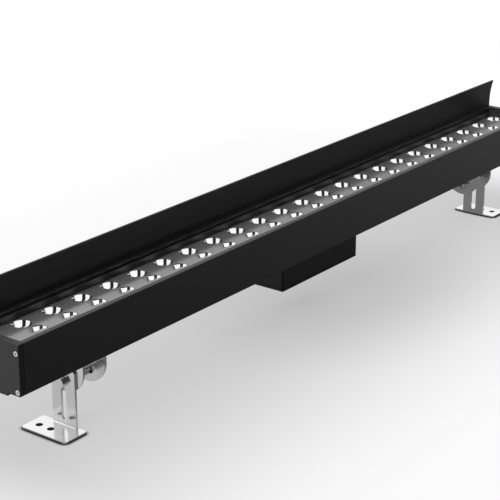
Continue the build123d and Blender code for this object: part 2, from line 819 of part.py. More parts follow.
with BuildPart() as foot:
    with BuildSketch(plane_x(-leg_face)) as leg_outline:
        Polygon(
            (pivot[0] - half_leg, 0), (pivot[0] - half_leg, shoulder),
            (pivot[0] - half_head, head_top), (pivot[0] + half_head, head_top),
            (pivot[0] + half_leg, shoulder), (pivot[0] + half_leg, 0),
            align=None,
        )
        fillet([v for v in leg_outline.vertices() if v.Y > shoulder - leg_shoulder], radius=foot_corner)
    extrude(amount=foot_sheet)
    with BuildSketch() as foot_outline:
        with Locations(((foot_edge + leg_inner) / 2, foot_middle)):
            Rectangle(foot_reach, foot_width)
        fillet(foot_outline.vertices(), radius=foot_corner)
    extrude(amount=foot_sheet)
    # inner bend
    inner_corner = foot.edges().filter_by(Axis.Y).filter_by(
        lambda edge: abs(edge.center().X + leg_face) + abs(edge.center().Z - foot_sheet) < fit
    )
    fillet(inner_corner, radius=foot_bend)
    # tilt, lock and height holes
    with BuildSketch(plane_x(-leg_face)):
        with Locations(pivot):
            Circle(pivot_bolt + fit)
        with Locations(lock):
            Circle(lock_bolt + fit)
        with Locations((pivot[0], (leg_slot_bottom + leg_slot_top) / 2)):
            SlotOverall(leg_slot_top - leg_slot_bottom, leg_slot_width, rotation=90)
    extrude(amount=foot_sheet, mode=Mode.SUBTRACT)
    with BuildSketch():
        with Locations(*[(leg_inner - foot_hole_reach, y) for y in foot_holes]):
            Circle(foot_hole)
    extrude(amount=foot_sheet, mode=Mode.SUBTRACT)
save_pair(foot.part, "foot")

# bolts run through the leg and both ears, with a spacer between the ears
bolt_plane = plane_x(-leg_face, -1)
span = foot_sheet + hanger_length + 2 * slip

for name, (across, up), radius, flats, head, nut in (
    ("pivot_bolt", pivot, pivot_bolt, pivot_flats, pivot_head, pivot_nut),
    ("lock_bolt", lock, lock_bolt, lock_flats, lock_head, lock_nut),
):
    with BuildPart() as bolt:
        with Locations(bolt_plane.offset(washer_thickness)):
            with Locations((-across, up)):
                add(hex_bolt(radius, flats, head, span + 2 * washer_thickness + nut + bolt_end))
    save_pair(bolt.part, name)

with BuildPart() as washers:
    for washer_x in (-leg_face - washer_thickness, -leg_face + span):
        with Locations(plane_x(washer_x)):
            with Locations(pivot):
                add(tube(pivot_washer, pivot_bolt + fit, washer_thickness))
            with Locations(lock):
                add(tube(lock_washer, lock_bolt + fit, washer_thickness))
save_pair(washers.part, "bolt_washers")

with BuildPart() as nuts:
    with Locations(plane_x(-leg_face + span + washer_thickness)):
        with Locations(pivot):
            add(hex_nut(pivot_bolt, pivot_flats, pivot_nut))
        with Locations(lock):
            add(hex_nut(lock_bolt, lock_flats, lock_nut))
save_pair(nuts.part, "bolt_nuts")

spacer_length = hanger_length - 2 * (hanger_sheet + slip)
with BuildPart() as spacers:
    with Locations(plane_x(ear_start + hanger_sheet + slip)):
        with Locations(pivot):
            add(tube(pivot_spacer, pivot_bolt + fit, spacer_length))
        with Locations(lock):
            add(tube(lock_spacer, lock_bolt + fit, spacer_length))
save_pair(spacers.part, "spacers")
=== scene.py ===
import math

import bpy
from bpy.props import FloatProperty, FloatVectorProperty, IntProperty, PointerProperty
from mathutils import Matrix, Vector


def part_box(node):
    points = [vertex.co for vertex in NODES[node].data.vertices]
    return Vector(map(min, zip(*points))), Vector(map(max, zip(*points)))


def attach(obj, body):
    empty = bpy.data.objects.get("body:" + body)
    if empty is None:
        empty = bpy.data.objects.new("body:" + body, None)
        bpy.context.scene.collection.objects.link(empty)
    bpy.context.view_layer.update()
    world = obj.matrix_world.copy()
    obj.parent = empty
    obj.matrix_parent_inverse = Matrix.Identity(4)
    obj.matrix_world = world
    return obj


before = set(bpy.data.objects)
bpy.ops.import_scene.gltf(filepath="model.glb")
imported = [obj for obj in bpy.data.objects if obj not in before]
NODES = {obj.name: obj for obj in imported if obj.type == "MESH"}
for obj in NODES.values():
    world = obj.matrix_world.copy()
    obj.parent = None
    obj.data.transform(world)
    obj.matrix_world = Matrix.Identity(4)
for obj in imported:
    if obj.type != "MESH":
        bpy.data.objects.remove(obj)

bl_info = {
    "name": "Linear Wall Washer",
    "version": (1, 0, 0),
    "blender": (4, 5, 0),
    "location": "View3D > Sidebar > Washer",
    "description": "Looks, drawn pieces and photo studio of a linear outdoor wall washer",
    "category": "Object",
}

MM = 0.001
EVEN = (1.0, 1.0, 1.0)                      # grain without a direction

LAMP = "lamp"                               # the body that carries the optics
SIDES = (("left", -1.0), ("right", 1.0))    # the brackets, with the sign of their X

# rows of lenses in the part's frame, in metres
LENS_TOP = 0.1156                           # flat rims of the lenses
LENS_PITCH = 0.0419
LENS_COUNT = 24
ROW_Y = (-0.0035, 0.0182)                   # front and back row

# tilt bolts: name, radius of the shank, length of the nut, pitch of the thread
TILT_BOLTS = (
    ("pivot_bolt", 4.0 * MM, 8.0 * MM, 1.25 * MM),
    ("lock_bolt", 3.0 * MM, 6.0 * MM, 1.0 * MM),
)

# the camera's axes, from the vanishing points of the housing
CAMERA_RIGHT = (0.60585132, -0.79557789, 0.0)
CAMERA_UP = (0.27504438, 0.20945278, 0.93833902)

# edges over these angles stay sharp
CAD_EDGE = math.radians(32)
DRAWN_EDGE = math.radians(40)


# ---------------------------------------------------------------- settings

class MetalSettings(bpy.types.PropertyGroup):
    """Black finishes and bare steel."""
    black: FloatProperty(
        name="Black Level", description="Base brightness of the black finishes",
        default=0.010, min=0.0, max=0.1, subtype="FACTOR",
    )
    black_roughness: FloatProperty(
        name="Black Roughness", description="Roughness of the satin black finishes",
        default=0.42, min=0.0, max=1.0, subtype="FACTOR",
    )
    steel: FloatProperty(
        name="Steel Level", description="Base brightness of the stainless sheet",
        default=0.93, min=0.0, max=1.0, subtype="FACTOR",
    )
    grain: FloatProperty(
        name="Grain Size", description="Length of one period of the fine surface grain",
        default=0.0012, min=0.0001, max=0.02, subtype="DISTANCE", unit="LENGTH",
    )


class OpticsSettings(bpy.types.PropertyGroup):
    """Lenses, mask and cover glass."""
    mask: FloatProperty(
        name="Mask Level", description="Base brightness of the grey mask round the lenses",
        default=0.43, min=0.0, max=1.0, subtype="FACTOR",
    )
    # the painted highlight fills each lens's dish up to this radius
    cup_radius: FloatProperty(
        name="Cup Radius", description="Radius of the bright dish in each lens",
        default=0.0099, min=0.001, max=0.02, subtype="DISTANCE", unit="LENGTH",
    )
    # width of the dark band that cuts the painted highlight in each lens
    band_width: FloatProperty(
        name="Rib Width", description="Width of the dark rib across each lens",
        default=0.0030, min=0.0, max=0.01, subtype="DISTANCE", unit="LENGTH",
    )


class ThreadSettings(bpy.types.PropertyGroup):
    """Threads on the free ends of the tilt bolts."""
    segments: IntProperty(
        name="Segments", description="Steps in one turn of a thread", default=20, min=8, max=64,
    )
    depth: FloatProperty(
        name="Thread Depth", description="Height of the thread ridge, most of it sunk in the shank",
        default=0.00035, min=0.0, max=0.001, subtype="DISTANCE", unit="LENGTH",
    )


class StageSettings(bpy.types.PropertyGroup):
    """Floor, key light, surroundings and camera."""
    camera_place: FloatVectorProperty(
        name="Camera Place", description="Where the camera stands",
        default=(-1.40507, -0.99151, 0.69831), subtype="TRANSLATION", unit="LENGTH",
    )
    focal_length: FloatProperty(
        name="Focal Length", description="Lens of the camera in millimetres on a 36 mm sensor",
        default=112.68, min=10.0, max=300.0,
    )
    camera_shift: FloatVectorProperty(
        name="Camera Shift", description="Shift of the picture, in widths of the frame",
        size=2, default=(-0.0005, 0.0015),
    )
    floor_level: FloatProperty(
        name="Floor Level", description="Brightness of the floor in the soft shadow round the light",
        default=0.61, min=0.0, max=1.0, subtype="FACTOR",
    )
    bounce_level: FloatProperty(
        name="Bounce Level", description="Brightness of the floor as the object sees it",
        default=0.58, min=0.0, max=1.0, subtype="FACTOR",
    )
    mirror_level: FloatProperty(
        name="Mirror Level", description="Brightness of the floor in the mirrors of metal",
        default=0.85, min=0.0, max=1.0, subtype="FACTOR",
    )
    world_level: FloatProperty(
        name="World Level", description="Brightness of the surroundings as light",
        default=1.0, min=0.0, max=5.0,
    )
    key_power: FloatProperty(
        name="Key Power", description="Power of the key light in watts", default=21.0, min=0.0,
    )
    key_place: FloatVectorProperty(
        name="Key Place", description="Where the key light hangs",
        default=(-0.95, 0.76, 1.56), subtype="TRANSLATION", unit="LENGTH",
    )
    key_size: FloatProperty(
        name="Key Size", description="Side of the square key light",
        default=0.20, min=0.01, max=5.0, subtype="DISTANCE", unit="LENGTH",
    )


SETTINGS = {
    "washer_metal": MetalSettings,
    "washer_optics": OpticsSettings,
    "washer_thread": ThreadSettings,
    "washer_stage": StageSettings,
}


# ---------------------------------------------------------------- shader tools

class Graph:
    """Short calls for adding nodes and links to a node tree."""

    def __init__(self, tree):
        self.tree = tree

    def add(self, kind, settings=None, **inputs):
        """A node with attributes from settings, and with constants or other nodes' outputs as inputs."""
        node = self.tree.nodes.new(kind)
        for key, value in (settings or {}).items():
            setattr(node, key, value)
        for key, value in inputs.items():
            self.feed(self.socket(node, key), value)
        return node

    @staticmethod
    def socket(node, key):
        """An input by position, as i0, or by name with _ for space."""
        if key[0] == "i" and key[1:].isdigit():
            return node.inputs[int(key[1:])]
        return node.inputs[key.replace("_", " ")]

    def feed(self, socket, value):
        """Links an output to the socket, or sets a constant on it."""
        if isinstance(value, bpy.types.NodeSocket):
            self.tree.links.new(value, socket)
        else:
            socket.default_value = value

    def math(self, operation, a, b=0.0, c=0.0, clamp=False):
        """The result of a math node."""
        node = self.tree.nodes.new("ShaderNodeMath")
        node.operation = operation
        node.use_clamp = clamp
        for socket, value in zip(node.inputs, (a, b, c)):
            self.feed(socket, value)
        return node.outputs[0]

    def product(self, first, *others):
        """All values multiplied."""
        for value in others:
            first = self.math("MULTIPLY", first, value)
        return first

    def distance(self, a, b):
        """The length of the vector with the two sides a and b."""
        return self.math("SQRT", self.math("ADD", self.product(a, a), self.product(b, b)))

    def smooth(self, value, low, high, start=0.0, end=1.0):
        """A smooth step from start to end, while value goes from low to high."""
        node = self.add("ShaderNodeMapRange", {"interpolation_type": "SMOOTHSTEP"})
        for socket, number in zip(node.inputs, (value, low, high, start, end)):
            self.feed(socket, number)
        return node.outputs[0]

    def slanted(self, value, other, edge):
        """A smooth step across an edge that leans with the other axis: (lean, from, to)."""
        lean, low, high = edge
        return self.smooth(self.math("MULTIPLY_ADD", other, lean, value), low, high)

    def blend(self, factor, a, b):
        """A mix of two colours."""
        node = self.add("ShaderNodeMix", {"data_type": "RGBA"})
        self.feed(node.inputs["Factor"], factor)
        self.feed(node.inputs[6], a)
        self.feed(node.inputs[7], b)
        return node.outputs[2]

    def seen(self, ray):
        """1 for rays of the camera, of mirrors and of glass, 0 for those that light a surface."""
        either = self.math("MAXIMUM", ray.outputs["Is Camera Ray"], ray.outputs["Is Glossy Ray"])
        return self.math("MAXIMUM", either, ray.outputs["Is Transmission Ray"])

    def dimmed(self, ray, level):
        """The level for rays of mirrors, 1 for all others."""
        change = self.math("SUBTRACT", level, 1.0)
        return self.math("MULTIPLY_ADD", ray.outputs["Is Glossy Ray"], change, 1.0)

    def group(self, tree, **inputs):
        """A node that uses a node group."""
        node = self.tree.nodes.new("ShaderNodeGroup")
        node.node_tree = tree
        for key, value in inputs.items():
            self.feed(self.socket(node, key), value)
        return node


def new_group(name, inputs, outputs):
    """A new node group: its Graph, the sockets it is given and the sockets it puts out."""
    tree = bpy.data.node_groups.new(name, "ShaderNodeTree")
    for label, kind, value in inputs:
        socket = tree.interface.new_socket(label, in_out="INPUT", socket_type=kind)
        if value is not None:
            socket.default_value = value
    for label, kind in outputs:
        tree.interface.new_socket(label, in_out="OUTPUT", socket_type=kind)
    given = tree.nodes.new("NodeGroupInput").outputs
    out = tree.nodes.new("NodeGroupOutput").inputs
    return Graph(tree), given, out


FLOAT, VECTOR = "NodeSocketFloat", "NodeSocketVector"


def grain_group():
    """Node group: fine grain stretched along one axis, slow clouding, and a Normal bumped by the grain."""
    g, given, out = new_group(
        "surface_grain",
        [("Stretch", VECTOR, EVEN), ("Scale", FLOAT, 800.0), ("Bump", FLOAT, 0.1)],
        [("Value", FLOAT), ("Cloud", FLOAT), ("Normal", VECTOR)],
    )
    place = g.add("ShaderNodeTexCoord").outputs["Object"]
    stretched = g.add("ShaderNodeVectorMath", {"operation": "MULTIPLY"}, i0=place, i1=given["Stretch"])
    fine = g.add("ShaderNodeTexNoise", Vector=stretched.outputs[0], Scale=given["Scale"], Detail=4.0,
                 Roughness=0.6)
    cloud = g.add("ShaderNodeTexNoise", Vector=place, Scale=14.0, Detail=3.0, Roughness=0.5)
    bump = g.add("ShaderNodeBump", Strength=given["Bump"], Distance=0.0002, Height=fine.outputs["Fac"])
    g.feed(out["Value"], fine.outputs["Fac"])
    g.feed(out["Cloud"], cloud.outputs["Fac"])
    g.feed(out["Normal"], bump.outputs["Normal"])


def edge_group():
    """Node group: edges that handling has worn light; Mask is 0 on flat faces, up to Amount on edges."""
    g, given, out = new_group(
        "worn_edges", [("Width", FLOAT, 0.0006), ("Amount", FLOAT, 0.5)], [("Mask", FLOAT)],
    )
    bevel = g.add("ShaderNodeBevel", {"samples": 4}, Radius=given["Width"])
    normal = g.add("ShaderNodeNewGeometry").outputs["Normal"]
    dot = g.add("ShaderNodeVectorMath", {"operation": "DOT_PRODUCT"}, i0=bevel.outputs[0], i1=normal)
    turned = g.math("SUBTRACT", 1.0, dot.outputs["Value"])
    flat, round_edge = 0.01, 0.25
    worn = g.smooth(turned, flat, round_edge)
    g.feed(out["Mask"], g.math("MULTIPLY", worn, given["Amount"], clamp=True))


def material(name):
    """A new material with a Principled BSDF: the datablock, its Graph, the BSDF and the output node."""
    datablock = bpy.data.materials.new(name)
    datablock.use_nodes = True
    datablock.node_tree.nodes.clear()
    g = Graph(datablock.node_tree)
    output = g.add("ShaderNodeOutputMaterial")
    surface = g.add("ShaderNodeBsdfPrincipled")
    g.feed(output.inputs["Surface"], surface.outputs["BSDF"])
    return datablock, g, surface, output


def grey(level, tint=(1.0, 1.0, 1.0)):
    """A colour of one brightness, slightly tinted."""
    return (level * tint[0], level * tint[1], level * tint[2], 1.0)


def grain_node(g, stretch, scale, bump):
    """The grain group in a material."""
    return g.group(bpy.data.node_groups["surface_grain"], Stretch=stretch, Scale=scale, Bump=bump)


def finish_material(name, dark, light, roughness, scale, bump, stretch=EVEN, metallic=0.0, specular=0.5,
                    edge=0.3):
    """A plain finish: two tones in slow clouds, fine directed grain, lighter edges."""
    datablock, g, surface, _ = material(name)
    grain = grain_node(g, stretch, scale, bump)
    worn = g.group(bpy.data.node_groups["worn_edges"], Amount=edge)
    cloud_span = (0.3, 0.7)
    clouded = g.blend(g.smooth(grain.outputs["Cloud"], *cloud_span), dark, light)
    edge_gain, edge_lift = 2.2, 0.01
    edged = tuple(min(1.0, edge_gain * c + edge_lift) for c in light[:3]) + (1.0,)
    g.feed(surface.inputs["Base Color"], g.blend(worn.outputs["Mask"], clouded, edged))
    spread = 0.12
    rough = g.math("MULTIPLY_ADD", grain.outputs["Value"], spread, roughness - spread / 2)
    g.feed(surface.inputs["Roughness"], rough)
    g.feed(surface.inputs["Normal"], grain.outputs["Normal"])
    surface.inputs["Metallic"].default_value = metallic
    surface.inputs["Specular IOR Level"].default_value = specular
    return datablock


def paint(look, *names):
    """Gives CAD nodes their material."""
    for name in names:
        mesh = NODES[name].data
        mesh.materials.clear()
        mesh.materials.append(look)


def smooth_shade(*names):
    """Smooth normals on the curved faces of CAD nodes, sharp over real edges."""
    for name in names:
        mesh = NODES[name].data
        mesh.shade_smooth()
        mesh.set_sharp_from_angle(angle=CAD_EDGE)


# ---------------------------------------------------------------- mesh tools

def mesh_object(name, verts, faces, look, body, smooth=True):
    """A new piece, which moves with a CAD body if one is named."""
    mesh = bpy.data.meshes.new(name)
    mesh.from_pydata(verts, [], faces)
    mesh.materials.append(look)
    mesh.update()
    if smooth:
        mesh.shade_smooth()
        mesh.set_sharp_from_angle(angle=DRAWN_EDGE)
    obj = bpy.data.objects.new(name, mesh)
    bpy.context.scene.collection.objects.link(obj)
    if body:
        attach(obj, body)
    return obj


def swept_loop(rings):
    """Vertices and faces of a tube through rings of as many points each, the last joined to the first."""
    count = len(rings[0])
    verts = [point for ring in rings for point in ring]
    faces = []
    for i in range(len(rings)):
        j = (i + 1) % len(rings)
        for k in range(count):
            m = (k + 1) % count
            faces.append((i * count + k, j * count + k, j * count + m, i * count + m))
    return verts, faces


def thread_mesh(x_start, x_end, centre, root, pitch, height, segments):
    """A helical ridge round a shank along X, open at the foot, which is sunk in the shank."""
    steps = max(2, int(abs(x_end - x_start) / pitch * segments))
    direction = 1.0 if x_end > x_start else -1.0
    flank, crest, sunk = 0.35, 0.08, -0.05      # half widths in pitches, and the sunk foot in heights
    fade_rate = 4.0                             # the ridge rises and falls over a quarter turn
    verts, faces = [], []
    for i in range(steps + 1):
        angle = 2 * math.pi * i / segments
        x = x_start + direction * pitch * i / segments
        top = min(1.0, fade_rate * i / segments, fade_rate * (steps - i) / segments)
        for aside, rise in ((-flank, sunk), (-crest, top), (crest, top), (flank, sunk)):
            r = root + height * rise
            y, z = centre[0] + r * math.cos(angle), centre[1] + r * math.sin(angle)
            verts.append((x + aside * pitch, y, z))
    for i in range(steps):
        for k in range(3):
            a = i * 4 + k
            faces.append((a, a + 4, a + 5, a + 1))
    faces.append((0, 1, 2, 3))
    end = steps * 4
    faces.append((end + 3, end + 2, end + 1, end))
    return verts, faces


# ---------------------------------------------------------------- operators

class WASHER_OT_black_metal(bpy.types.Operator):
    """Finish the black aluminium: housing, visor, end caps and driver box."""
    bl_idname = "washer.black_metal"
    bl_label = "Black Metal"

    def execute(self, context):
        metal = context.scene.washer_metal
        level, rough, scale = metal.black, metal.black_roughness, 1.0 / metal.grain
        drawn_long = (0.02, 1.0, 1.0)
        extrusion = finish_material(
            "black_extrusion", dark=grey(level), light=grey(level * 1.3), roughness=rough,
            scale=scale, bump=0.12, stretch=drawn_long, specular=0.85, edge=0.5)
        sheet = finish_material(
            "black_sheet", dark=grey(level * 1.2), light=grey(level * 1.45), roughness=rough + 0.03,
            scale=scale, bump=0.08, stretch=drawn_long, specular=0.34, edge=0.5)
        casting = finish_material(
            "black_casting", dark=grey(level * 1.1), light=grey(level * 1.4), roughness=rough + 0.02,
            scale=scale, bump=0.12, specular=0.56, edge=0.3)
        box = finish_material(
            "black_box", dark=grey(level * 0.9), light=grey(level * 1.2), roughness=rough + 0.05,
            scale=scale, bump=0.2, specular=0.44, edge=0.4)
        paint(extrusion, "housing")
        paint(sheet, "visor")
        paint(casting, "end_cap_left", "end_cap_right")
        paint(box, "driver_box", "driver_box_cover")
        smooth_shade("housing", "visor", "end_cap_left", "end_cap_right", "driver_box")
        return {"FINISHED"}


def lens_group():
    """Node group: the place round the nearest lens, the row it stands in and the depth under the rims."""
    g, _, out = new_group(
        "lens_cells", [], [("Along", FLOAT), ("Across", FLOAT), ("Radius", FLOAT), ("Back Row", FLOAT),
                           ("Sink", FLOAT)],
    )
    place = g.add("ShaderNodeSeparateXYZ", Vector=g.add("ShaderNodeTexCoord").outputs["Object"])
    from_end = g.math("ADD", place.outputs["X"], LENS_PITCH * LENS_COUNT / 2)
    along = g.math("SUBTRACT", g.math("FLOORED_MODULO", from_end, LENS_PITCH), LENS_PITCH / 2)
    middle = (ROW_Y[0] + ROW_Y[1]) / 2
    spacing = ROW_Y[1] - ROW_Y[0]
    from_front = g.math("ADD", place.outputs["Y"], spacing - middle)
    across = g.math("SUBTRACT", g.math("FLOORED_MODULO", from_front, spacing), spacing / 2)
    g.feed(out["Along"], along)
    g.feed(out["Across"], across)
    g.feed(out["Radius"], g.distance(along, across))
    g.feed(out["Sink"], g.math("SUBTRACT", LENS_TOP, place.outputs["Z"]))
    g.feed(out["Back Row"], g.math("GREATER_THAN", place.outputs["Y"], middle))


# The painted reflection in a lens, in metres from its middle. Its bright wedges and glint are painted
# highlights, and its dark band, dish and far rim line are painted shade. U runs along WEDGE_RIGHT and W at
# right angles to it, away from the front. An edge is (lean, from, to), and a pair is (from, to).
# _BACK is added in the back row.
WEDGE_RIGHT = (0.60585, -0.79558)
WEDGE_SINK = -2.7                           # W shifts with the depth, as the dish's wall leans
DISH_BLUR = 0.0006
BAND_U, BAND_U_BACK, BAND_BLUR = 0.0021, -0.0008, 0.0005
LEFT_U_BACK = 0.0022
LEFT_EDGE = (0.17, -0.0054, -0.0048)
RIGHT_EDGE = (-0.10, 0.0075, 0.0068)
NEAR_WALL = (-0.85, -0.0040, -0.0029)       # the near wall and the top cut the front row only
TOP_EDGE = (-0.49, 0.0082, 0.0072)
GLINT_U, GLINT_W, GLINT_EDGE = -0.0093, -0.0015, (0.0019, 0.0010)
# a painted shade line along the far side of each lens's rim, by its radius and by W
RIM_LINE, RIM_LINE_FAR = (0.0088, 0.0095), (0.0035, 0.0065)
DISH_LEFT = (-0.0062, -0.0054)              # left of this a front dish is as grey as the mask
# painted shade round each lens, where the mask meets it
MASK_SHADE_RING = (0.0102, 0.0108)


def painted_lens_reflection(g, optics):
    """Masks of the painted reflection in a lens: painted highlights in its bright wedges and glint,
    and painted shade in its dark band, its dish and its far rim.
    """
    cell = g.group(bpy.data.node_groups["lens_cells"])
    along, across = cell.outputs["Along"], cell.outputs["Across"]
    radius, row = cell.outputs["Radius"], cell.outputs["Back Row"]
    right_x, right_y = WEDGE_RIGHT
    u = g.math("ADD", g.product(along, right_x), g.product(across, right_y))
    flat_w = g.math("SUBTRACT", g.product(across, right_x), g.product(along, right_y))
    w = g.math("MULTIPLY_ADD", cell.outputs["Sink"], WEDGE_SINK, flat_w)

    cup, half_band = optics.cup_radius, optics.band_width / 2
    # the painted highlight fills the dish, cut by the dark band and by slanted edges
    dish = g.smooth(radius, cup, cup - DISH_BLUR)
    from_band = g.math("SUBTRACT", u, g.math("MULTIPLY_ADD", row, BAND_U_BACK, BAND_U))
    band = g.smooth(g.math("ABSOLUTE", from_band), half_band, half_band + BAND_BLUR)
    left = g.slanted(g.math("MULTIPLY_ADD", row, LEFT_U_BACK, u), w, LEFT_EDGE)
    right = g.slanted(u, w, RIGHT_EDGE)
    near = g.math("MAXIMUM", row, g.slanted(w, u, NEAR_WALL))
    top = g.math("MAXIMUM", row, g.slanted(w, u, TOP_EDGE))
    wedges = g.product(dish, band, left, right, near, top)

    # a painted glint: a small bright diamond at the left of each back lens
    glint_reach = g.math("ADD", g.math("ABSOLUTE", g.math("SUBTRACT", u, GLINT_U)),
                         g.math("ABSOLUTE", g.math("SUBTRACT", w, GLINT_W)))
    glint = g.product(g.smooth(glint_reach, *GLINT_EDGE), row)
    bright = g.math("MAXIMUM", wedges, glint)

    # painted shade: a dark line on the far rim, and a dark dish round the painted highlights
    far_rim_shade = g.product(g.smooth(radius, *RIM_LINE), g.smooth(w, *RIM_LINE_FAR))
    inside = g.smooth(radius, cup + 0.3 * MM, cup - 0.1 * MM)
    seen = g.math("MAXIMUM", row, g.smooth(u, *DISH_LEFT))
    dark = g.math("MAXIMUM", far_rim_shade, g.product(inside, near, seen))
    return bright, dark


class WASHER_OT_optics(bpy.types.Operator):
    """Finish the cover glass, lenses, mask, LED board and LEDs."""
    bl_idname = "washer.optics"
    bl_label = "Optics"

    def execute(self, context):
        optics = context.scene.washer_optics
        self.glass()
        self.lenses(optics)
        self.mask(optics)
        self.board()
        self.leds()
        return {"FINISHED"}

    @staticmethod
    def glass():
        """Clear glass: a thin polished film over what lies under it, that casts next to no shadow."""
        datablock, g, surface, _ = material("cover_glass")
        grain = grain_node(g, EVEN, scale=60.0, bump=0.0)
        cloud_span, polish, polish_spread = (0.2, 0.8), 0.03, 0.04
        clouded = g.blend(g.smooth(grain.outputs["Cloud"], *cloud_span), grey(0.02), grey(0.035))
        g.feed(surface.inputs["Base Color"], clouded)
        rough = g.math("MULTIPLY_ADD", grain.outputs["Value"], polish_spread, polish)
        g.feed(surface.inputs["Roughness"], rough)
        surface.inputs["IOR"].default_value = 1.45
        surface.inputs["Alpha"].default_value = 0.07
        paint(datablock, "glass_cover")

    @staticmethod
    def lenses(optics):
        """Lenses with a painted reflection: glowing, mirror-like painted highlights in the dish, cut by a
        dark band, painted shade in the dish and on the far rim, and a rim as grey as the mask.
        """
        datablock, g, surface, _ = material("lens_with_painted_reflection")
        bright, dark = painted_lens_reflection(g, optics)
        # painted shade: near black where the dish and far rim are dark, otherwise as grey as the mask
        body = g.blend(dark, grey(optics.mask * 0.9), grey(0.05))
        # the painted highlights are white
        g.feed(surface.inputs["Base Color"], g.blend(bright, body, grey(1.0)))
        mirror_metal, rim_rough, mirror_smoother = 0.6, 0.35, -0.15
        g.feed(surface.inputs["Metallic"], g.product(bright, mirror_metal))
        g.feed(surface.inputs["Roughness"], g.math("MULTIPLY_ADD", bright, mirror_smoother, rim_rough))
        # the painted highlights glow, though the lens is no lamp
        g.feed(surface.inputs["Emission Color"], g.blend(bright, grey(0.0), grey(1.0)))
        surface.inputs["Emission Strength"].default_value = 0.92
        surface.inputs["Coat Weight"].default_value = 0.1
        paint(datablock, "lens_front_row", "lens_back_row")
        smooth_shade("lens_front_row", "lens_back_row")

    @staticmethod
    def mask(optics):
        """Matt grey moulding with a fine texture, and painted shade in a darker ring round each lens."""
        datablock, g, surface, _ = material("grey_mask")
        grain = grain_node(g, EVEN, scale=900.0, bump=0.15)
        cell = g.group(bpy.data.node_groups["lens_cells"])
        shade_ring_start = 0.6
        # painted shade: the mask is darker in a ring at the edge of each lens
        ring = g.smooth(cell.outputs["Radius"], *MASK_SHADE_RING, shade_ring_start)
        tone = g.blend(grain.outputs["Cloud"], grey(optics.mask * 0.94), grey(optics.mask * 1.06))
        g.feed(surface.inputs["Base Color"], g.blend(ring, grey(optics.mask * 0.55), tone))
        matt, matt_spread = 0.4, 0.2
        rough = g.math("MULTIPLY_ADD", grain.outputs["Value"], matt_spread, matt)
        g.feed(surface.inputs["Roughness"], rough)
        g.feed(surface.inputs["Normal"], grain.outputs["Normal"])
        surface.inputs["Specular IOR Level"].default_value = 0.3
        paint(datablock, "lens_mask")

    @staticmethod
    def board():
        """White solder mask with faint tracks along the board."""
        datablock, g, surface, _ = material("white_solder_mask")
        place = g.add("ShaderNodeSeparateXYZ", Vector=g.add("ShaderNodeTexCoord").outputs["Object"])
        half_pitch, track_edge = 0.0021, (0.0009, 0.0011)
        track = g.smooth(g.math("PINGPONG", place.outputs["Y"], half_pitch), *track_edge)
        raised, flat = (0.74, 0.77, 0.74, 1), (0.86, 0.88, 0.86, 1)
        g.feed(surface.inputs["Base Color"], g.blend(track, raised, flat))
        surface.inputs["Roughness"].default_value = 0.35
        paint(datablock, "led_board")

    @staticmethod
    def leds():
        """Yellow phosphor in a pale frame."""
        datablock, g, surface, _ = material("led_phosphor")
        cell = g.group(bpy.data.node_groups["lens_cells"])
        core_edge = (0.0013, 0.0016)
        phosphor, frame_white = (0.9, 0.72, 0.12, 1), (0.8, 0.8, 0.78, 1)
        core = g.smooth(cell.outputs["Radius"], *core_edge)
        g.feed(surface.inputs["Base Color"], g.blend(core, phosphor, frame_white))
        surface.inputs["Roughness"].default_value = 0.3
        surface.inputs["Coat Weight"].default_value = 0.6
        paint(datablock, "leds")
        smooth_shade("leds")


class WASHER_OT_brackets(bpy.types.Operator):
    """Finish the stainless hangers and feet."""
    bl_idname = "washer.brackets"
    bl_label = "Brackets"

    def execute(self, context):
        level = context.scene.washer_metal.steel
        look = finish_material(
            "polished_stainless", dark=grey(level * 0.92), light=grey(level), roughness=0.17,
            scale=500.0, bump=0.05, stretch=(1.0, 1.0, 0.06), metallic=1.0, edge=0.25)
        paint(look, "left_hanger", "right_hanger", "left_foot", "right_foot")
        smooth_shade("left_hanger", "right_hanger", "left_foot", "right_foot")
        return {"FINISHED"}


class WASHER_OT_fasteners(bpy.types.Operator):
    """Finish bolts, nuts, washers, spacers and screws."""
    bl_idname = "washer.fasteners"
    bl_label = "Fasteners"

    def execute(self, context):
        level = context.scene.washer_metal.steel
        turned = finish_material(
            "turned_stainless", dark=grey(level * 0.8), light=grey(level * 0.95), roughness=0.24,
            scale=1600.0, bump=0.1, stretch=(0.3, 1.0, 1.0), metallic=1.0, edge=0.3)
        bluish = (0.96, 0.98, 1.0)
        zinc = finish_material(
            "zinc_plate", dark=grey(level * 0.8, bluish), light=grey(level, bluish), roughness=0.34,
            scale=900.0, bump=0.15, metallic=1.0, edge=0.3)
        bright = ["visor_screws", "end_cap_screws_left", "end_cap_screws_right", "driver_box_screws"]
        plated = ["board_screws", "driver_box_slot_nuts", "driver_box_bolts"]
        of_bracket = ("pivot_bolt", "lock_bolt", "bolt_washers", "bolt_nuts", "spacers", "rail_bolts")
        for side, _ in SIDES:
            bright += [f"{side}_{name}" for name in of_bracket]
            plated.append(f"{side}_rail_nuts")
        paint(turned, *bright)
        paint(zinc, *plated)
        smooth_shade(*bright, *plated)
        return {"FINISHED"}


